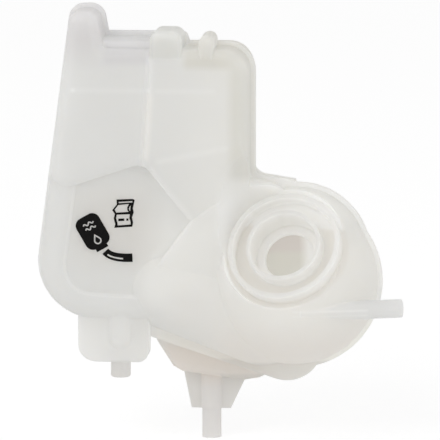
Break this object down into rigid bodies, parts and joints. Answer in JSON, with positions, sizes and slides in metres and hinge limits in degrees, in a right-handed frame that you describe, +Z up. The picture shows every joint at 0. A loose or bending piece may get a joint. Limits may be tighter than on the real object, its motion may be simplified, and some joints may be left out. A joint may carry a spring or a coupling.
{
  "type": "coolant expansion tank",
  "caption": "Welded translucent coolant tank: flat slab body joined to a ball with a leaning open filler neck, rear sump with outlet, side bleed nipple and a footed locating peg.",
  "frame": {"origin": "on the locating peg's axis, at the shoulder where the peg leaves the foot", "axes": "+Z up along the tank's height, -Y towards the side with the filler neck, +X from the slab towards the ball"},
  "size_m": [0.2213, 0.1035, 0.2649],
  "materials": {
    "front_plastic": "natural translucent polypropylene, satin moulded skin",
    "rear_plastic": "natural translucent polypropylene, satin moulded skin"
  },
  "bodies": {
    "root": {"front_shell": "front_plastic", "rear_shell": "rear_plastic"}
  },
  "joints": []
}
